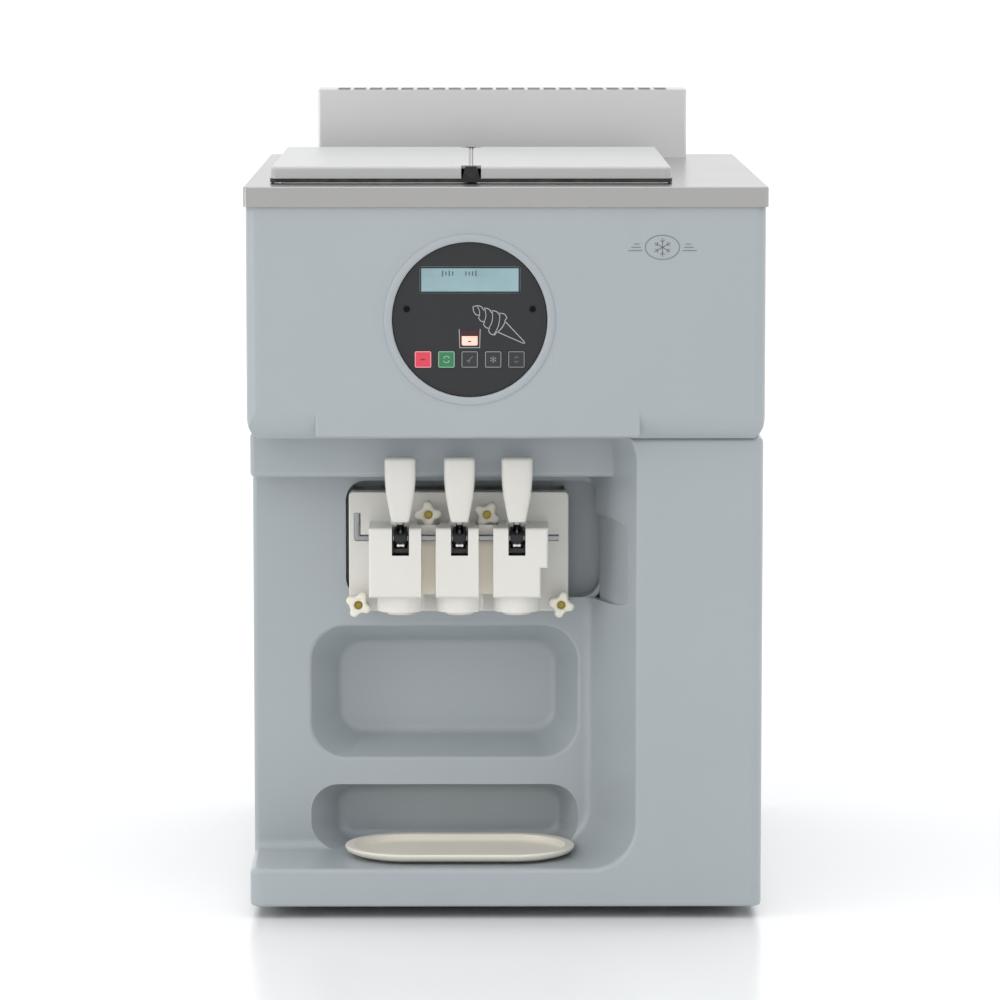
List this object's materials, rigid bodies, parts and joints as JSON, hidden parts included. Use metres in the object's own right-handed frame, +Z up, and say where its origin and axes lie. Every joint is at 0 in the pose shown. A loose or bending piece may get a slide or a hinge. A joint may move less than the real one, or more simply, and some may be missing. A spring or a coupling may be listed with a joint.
{
  "type": "soft ice cream machine",
  "caption": "Countertop soft ice cream machine with twin hoppers under lids, a pull-handle dispense head, a round control panel, a cup recess with drip tray, and an air chimney.",
  "frame": {"origin": "on the bench, under the centre of the machine's outer box", "axes": "+X to the right seen from the front, +Y to the back, +Z up"},
  "size_m": [0.52, 0.715, 0.815],
  "materials": {
    "steel_deck": "brushed steel, along the front",
    "steel_chimney": "satin steel sheet",
    "steel_hopper": "satin pressed steel",
    "fascia_plastic": "moulded blue-grey plastic, semi-gloss",
    "side_paint": "blue-grey stoved paint on sheet steel",
    "zinc_sheet": "zinc-coated sheet",
    "foot_rubber": "moulded rubber",
    "seal_rubber": "moulded rubber, matt",
    "belt_rubber": "ribbed rubber",
    "gland_black": "moulded nylon",
    "panel_black": "printed film, fine texture",
    "display_cyan": "backlit display behind a clear window",
    "button_red": "satin film",
    "button_green": "satin film",
    "button_dark": "satin film",
    "lamp_red": "lit lens",
    "screw_black": "blackened steel",
    "board_green": "circuit board",
    "head_white": "machined food-grade white plastic",
    "handle_white": "moulded white plastic",
    "piston_white": "turned white plastic",
    "knob_cream": "moulded cream plastic",
    "tray_cream": "moulded cream plastic",
    "brass": "turned brass",
    "lever_steel": "polished stainless steel",
    "cylinder_steel": "stainless barrel with cooling coil",
    "beater_steel": "polished stainless steel",
    "tube_steel": "drawn stainless tube",
    "cast_alloy": "die-cast alloy",
    "pulley_iron": "machined iron",
    "motor_paint": "painted casting",
    "compressor_black": "black enamel",
    "fin_alloy": "thin alloy fins",
    "fan_paint": "black paint",
    "box_zinc": "grey powder coat",
    "lid_plastic": "translucent white plastic"
  },
  "bodies": {
    "cabinet": {"base_pan": "zinc_sheet", "cable_gland": "gland_black", "compressor": "compressor_black", "condenser": "fin_alloy", "control_board": "board_green", "control_panel": "panel_black", "cylinder_seals": "seal_rubber", "dispense_head": "head_white", "display_module": "display_cyan", "drive_belt": "belt_rubber", "drive_motor": "motor_paint", "electrical_box": "box_zinc", "exhaust_chimney": "steel_chimney", "fan_motor": "fan_paint", "feet": "foot_rubber", "freezing_cylinder_left": "cylinder_steel", "freezing_cylinder_right": "cylinder_steel", "gearbox": "cast_alloy", "head_fascia": "fascia_plastic", "head_studs": "brass", "hopper_left": "steel_hopper", "hopper_right": "steel_hopper", "lid_seal": "seal_rubber", "low_mix_lamp": "lamp_red", "lower_fascia": "fascia_plastic", "mix_feed_tubes": "tube_steel", "outlet_nozzles": "head_white", "panel_screws": "screw_black", "rear_panel": "side_paint", "side_panel_left": "side_paint", "side_panel_right": "side_paint", "support_frame": "zinc_sheet", "top_deck": "steel_deck"},
    "handle_left": {"handle_left": "handle_white", "lever_left": "lever_steel"},
    "piston_left": {"piston_left": "piston_white"},
    "handle_centre": {"handle_centre": "handle_white", "lever_centre": "lever_steel"},
    "piston_centre": {"piston_centre": "piston_white"},
    "handle_right": {"handle_right": "handle_white", "lever_right": "lever_steel"},
    "piston_right": {"piston_right": "piston_white"},
    "pivot_rod": {"pivot_rod": "lever_steel"},
    "star_knob_upper_left": {"star_knob_upper_left": "knob_cream"},
    "star_knob_upper_right": {"star_knob_upper_right": "knob_cream"},
    "star_knob_lower_left": {"star_knob_lower_left": "knob_cream"},
    "star_knob_lower_right": {"star_knob_lower_right": "knob_cream"},
    "button_stop": {"button_stop": "button_red"},
    "button_run": {"button_run": "button_green"},
    "button_clean": {"button_clean": "button_dark"},
    "button_chill": {"button_chill": "button_dark"},
    "button_scroll": {"button_scroll": "button_dark"},
    "lid_left": {"lid_left": "lid_plastic"},
    "lid_right": {"lid_right": "lid_plastic"},
    "drip_tray": {"drip_tray": "tray_cream"},
    "gearbox_pulley": {"gearbox_pulley": "pulley_iron"},
    "motor_pulley": {"motor_pulley": "pulley_iron"},
    "beater_left": {"beater_left": "beater_steel"},
    "beater_right": {"beater_right": "beater_steel"},
    "fan": {"fan_blade": "fin_alloy"}
  },
  "joints": [
    {"name": "handle_left_pull", "type": "hinge", "parent": "cabinet", "child": "handle_left", "pos_m": [-0.106, -0.2755, 0.3806], "axis": [1, 0, 0], "range_deg": [0, 60]},
    {"name": "piston_left_lift", "type": "slide", "parent": "cabinet", "child": "piston_left", "axis": [0, 0, 1], "range_m": [0, 0.0158]},
    {"name": "handle_centre_pull", "type": "hinge", "parent": "cabinet", "child": "handle_centre", "pos_m": [-0.0464, -0.2755, 0.3806], "axis": [1, 0, 0], "range_deg": [0, 60]},
    {"name": "piston_centre_lift", "type": "slide", "parent": "cabinet", "child": "piston_centre", "axis": [0, 0, 1], "range_m": [0, 0.0158]},
    {"name": "handle_right_pull", "type": "hinge", "parent": "cabinet", "child": "handle_right", "pos_m": [0.0115, -0.2755, 0.3806], "axis": [1, 0, 0], "range_deg": [0, 60]},
    {"name": "piston_right_lift", "type": "slide", "parent": "cabinet", "child": "piston_right", "axis": [0, 0, 1], "range_m": [0, 0.0158]},
    {"name": "pivot_rod_draw", "type": "slide", "parent": "cabinet", "child": "pivot_rod", "axis": [-1, 0, 0], "range_m": [0, 0.21]},
    {"name": "star_knob_upper_left_turn", "type": "hinge", "parent": "cabinet", "child": "star_knob_upper_left", "pos_m": [-0.078, -0.2515, 0.402], "axis": [0, 1, 0], "continuous": true},
    {"name": "star_knob_upper_right_turn", "type": "hinge", "parent": "cabinet", "child": "star_knob_upper_right", "pos_m": [-0.0187, -0.2515, 0.402], "axis": [0, 1, 0], "continuous": true},
    {"name": "star_knob_lower_left_turn", "type": "hinge", "parent": "cabinet", "child": "star_knob_lower_left", "pos_m": [-0.1494, -0.2515, 0.3095], "axis": [0, 1, 0], "continuous": true},
    {"name": "star_knob_lower_right_turn", "type": "hinge", "parent": "cabinet", "child": "star_knob_lower_right", "pos_m": [0.057, -0.2515, 0.3095], "axis": [0, 1, 0], "continuous": true},
    {"name": "button_stop_press", "type": "slide", "parent": "cabinet", "child": "button_stop", "axis": [0, 1, 0], "range_m": [0, 0.0008], "stiffness_N_per_m": 1200},
    {"name": "button_run_press", "type": "slide", "parent": "cabinet", "child": "button_run", "axis": [0, 1, 0], "range_m": [0, 0.0008], "stiffness_N_per_m": 1200},
    {"name": "button_clean_press", "type": "slide", "parent": "cabinet", "child": "button_clean", "axis": [0, 1, 0], "range_m": [0, 0.0008], "stiffness_N_per_m": 1200},
    {"name": "button_chill_press", "type": "slide", "parent": "cabinet", "child": "button_chill", "axis": [0, 1, 0], "range_m": [0, 0.0008], "stiffness_N_per_m": 1200},
    {"name": "button_scroll_press", "type": "slide", "parent": "cabinet", "child": "button_scroll", "axis": [0, 1, 0], "range_m": [0, 0.0008], "stiffness_N_per_m": 1200},
    {"name": "lid_left_lift", "type": "slide", "parent": "cabinet", "child": "lid_left", "axis": [0, 0, 1], "range_m": [0, 0.2]},
    {"name": "lid_right_lift", "type": "slide", "parent": "cabinet", "child": "lid_right", "axis": [0, 0, 1], "range_m": [0, 0.2]},
    {"name": "drip_tray_slide", "type": "slide", "parent": "cabinet", "child": "drip_tray", "axis": [0, -1, 0], "range_m": [0, 0.16]},
    {"name": "gearbox_pulley_spin", "type": "hinge", "parent": "cabinet", "child": "gearbox_pulley", "pos_m": [-0.047, 0.2125, 0.364], "axis": [0, 1, 0], "continuous": true},
    {"name": "motor_pulley_spin", "type": "hinge", "parent": "cabinet", "child": "motor_pulley", "pos_m": [-0.047, 0.2125, 0.175], "axis": [0, 1, 0], "continuous": true},
    {"name": "beater_left_spin", "type": "hinge", "parent": "cabinet", "child": "beater_left", "pos_m": [-0.103, -0.0575, 0.364], "axis": [0, 1, 0], "continuous": true},
    {"name": "beater_right_spin", "type": "hinge", "parent": "cabinet", "child": "beater_right", "pos_m": [0.009, -0.0575, 0.364], "axis": [0, 1, 0], "continuous": true},
    {"name": "fan_spin", "type": "hinge", "parent": "cabinet", "child": "fan", "pos_m": [0, 0.2325, 0.59], "axis": [0, 1, 0], "continuous": true}
  ],
  "couplings": [
    {"joint": "piston_left_lift", "follows": "handle_left_pull", "m_per_rad": 0.015},
    {"joint": "piston_centre_lift", "follows": "handle_centre_pull", "m_per_rad": 0.015},
    {"joint": "piston_right_lift", "follows": "handle_right_pull", "m_per_rad": 0.015},
    {"joint": "motor_pulley_spin", "follows": "gearbox_pulley_spin", "ratio": 2.2727},
    {"joint": "beater_left_spin", "follows": "gearbox_pulley_spin", "ratio": -0.2},
    {"joint": "beater_right_spin", "follows": "gearbox_pulley_spin", "ratio": 0.2}
  ]
}
